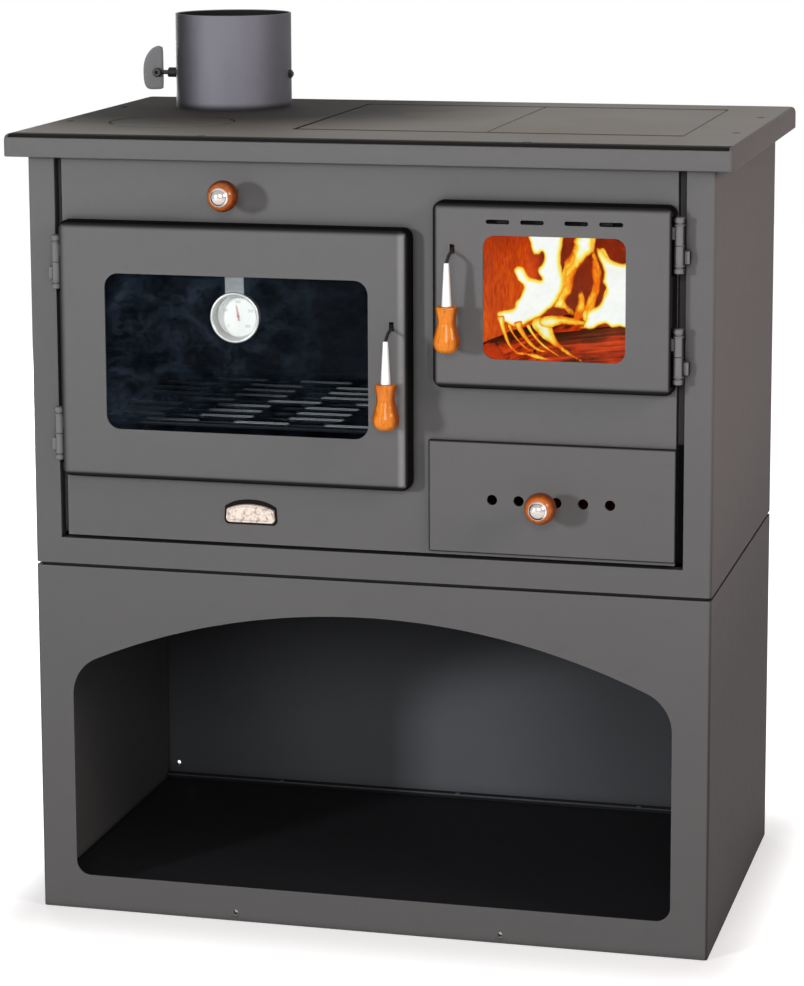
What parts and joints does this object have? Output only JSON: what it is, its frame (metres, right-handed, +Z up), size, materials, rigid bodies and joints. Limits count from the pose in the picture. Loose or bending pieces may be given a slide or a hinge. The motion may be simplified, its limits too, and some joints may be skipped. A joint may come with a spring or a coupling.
{
  "type": "wood cookstove",
  "caption": "Wood-burning cookstove with an oven, firebox, ash drawer, hob plate, round flue spigot with damper, and an open log store beneath.",
  "frame": {"origin": "on the floor, at the centre of the base's 732 by 440 mm footprint", "axes": "+X to the viewer's right, +Y from the front towards the back, +Z up"},
  "size_m": [0.772, 0.5258, 0.957],
  "materials": {
    "front_paint": "satin dark grey stove paint",
    "inner_paint": "matt black stove paint",
    "hob_steel": "ground and oiled",
    "flue_paint": "satin",
    "badge_metal": "satin",
    "hinge_paint": "satin grey stove paint",
    "dark_steel": "blackened",
    "bright_steel": "zinc plated",
    "raw_steel": "mill finish",
    "oven_enamel": "gloss enamel",
    "shelf_chrome": "bright",
    "handle_chrome": "polished",
    "handle_wood": "orange stain under gloss lacquer",
    "firebrick": "fired clay, sooty",
    "grate_iron": "as cast",
    "log_wood": "charred bark",
    "clear_glass": "ceramic glass",
    "rope_seal": "braided glass fibre",
    "dial_white": "matt white",
    "needle_red": "satin"
  },
  "bodies": {
    "stove": {"base_wrap": "front_paint", "base_back": "inner_paint", "base_floor": "inner_paint", "casing_wrap": "front_paint", "casing_back": "inner_paint", "casing_floor": "inner_paint", "front_panel": "front_paint", "badge": "badge_metal", "case_screws": "bright_steel", "hob_rim": "front_paint", "hob_plate": "hob_steel", "flue_spigot": "flue_paint", "oven_liner": "oven_enamel", "oven_runners": "oven_enamel", "oven_shelf": "shelf_chrome", "smoke_partition": "raw_steel", "firebox_shell": "raw_steel", "fire_bricks": "firebrick", "grate": "grate_iron", "fire_logs": "log_wood", "ash_chamber": "raw_steel", "hinge_posts": "hinge_paint", "latch_keepers": "raw_steel"},
    "hob_insert_left": {"hob_insert_left": "hob_steel"},
    "hob_insert_right": {"hob_insert_right": "hob_steel"},
    "cleaning_lid": {"cleaning_lid": "hob_steel"},
    "flue_damper": {"damper_disc": "raw_steel", "damper_spindle": "dark_steel", "damper_lever": "flue_paint", "damper_spring": "dark_steel"},
    "bypass": {"bypass_rod": "handle_chrome", "bypass_plate": "raw_steel", "bypass_knob": "handle_wood"},
    "ash_drawer": {"ash_box": "raw_steel", "ash_box_ends": "raw_steel", "ash_front": "front_paint", "ash_knob_stem": "handle_chrome", "ash_knob": "handle_wood"},
    "oven_door": {"oven_door_shell": "front_paint", "oven_door_inner": "raw_steel", "oven_glass": "clear_glass", "oven_door_seals": "rope_seal", "oven_door_fixings": "raw_steel", "oven_hinge_leaves": "hinge_paint", "thermo_case": "handle_chrome", "thermo_dial": "dial_white"},
    "oven_handle": {"oven_latch_arm": "dark_steel", "oven_handle_cone": "handle_chrome", "oven_handle_grip": "handle_wood"},
    "thermo_needle": {"thermo_needle": "needle_red"},
    "fire_door": {"fire_door_shell": "front_paint", "fire_door_inner": "raw_steel", "fire_glass": "clear_glass", "fire_door_seals": "rope_seal", "fire_door_fixings": "raw_steel", "fire_hinge_leaves": "hinge_paint"},
    "fire_handle": {"fire_latch_arm": "dark_steel", "fire_handle_cone": "handle_chrome", "fire_handle_grip": "handle_wood"}
  },
  "joints": [
    {"name": "oven_door_hinge", "type": "hinge", "parent": "stove", "child": "oven_door", "pos_m": [-0.331, -0.23, 0.623], "axis": [0, 0, -1], "range_deg": [0, 110]},
    {"name": "fire_door_hinge", "type": "hinge", "parent": "stove", "child": "fire_door", "pos_m": [0.331, -0.23, 0.6935], "axis": [0, 0, 1], "range_deg": [0, 110]},
    {"name": "oven_handle_pivot", "type": "hinge", "parent": "oven_door", "child": "oven_handle", "pos_m": [0.036, -0.233, 0.658], "axis": [-1, 0, 0], "range_deg": [0, 28]},
    {"name": "fire_handle_pivot", "type": "hinge", "parent": "fire_door", "child": "fire_handle", "pos_m": [0.1, -0.233, 0.7405], "axis": [-1, 0, 0], "range_deg": [0, 28]},
    {"name": "thermometer_needle", "type": "hinge", "parent": "oven_door", "child": "thermo_needle", "pos_m": [-0.135, -0.2286, 0.661], "axis": [0, 1, 0], "range_deg": [-120, 120]},
    {"name": "ash_drawer_slide", "type": "slide", "parent": "stove", "child": "ash_drawer", "axis": [0, -1, 0], "range_m": [0, 0.28]},
    {"name": "bypass_pull", "type": "slide", "parent": "stove", "child": "bypass", "axis": [0, -1, 0], "range_m": [0, 0.045]},
    {"name": "flue_damper_turn", "type": "hinge", "parent": "stove", "child": "flue_damper", "pos_m": [-0.244, 0.13, 0.888], "axis": [1, 0, 0], "range_deg": [0, 90]},
    {"name": "left_insert_lift", "type": "slide", "parent": "stove", "child": "hob_insert_left", "axis": [0, 0, 1], "range_m": [0, 0.12]},
    {"name": "right_insert_lift", "type": "slide", "parent": "stove", "child": "hob_insert_right", "axis": [0, 0, 1], "range_m": [0, 0.12]},
    {"name": "cleaning_lid_lift", "type": "slide", "parent": "stove", "child": "cleaning_lid", "axis": [0, 0, 1], "range_m": [0, 0.12]}
  ]
}
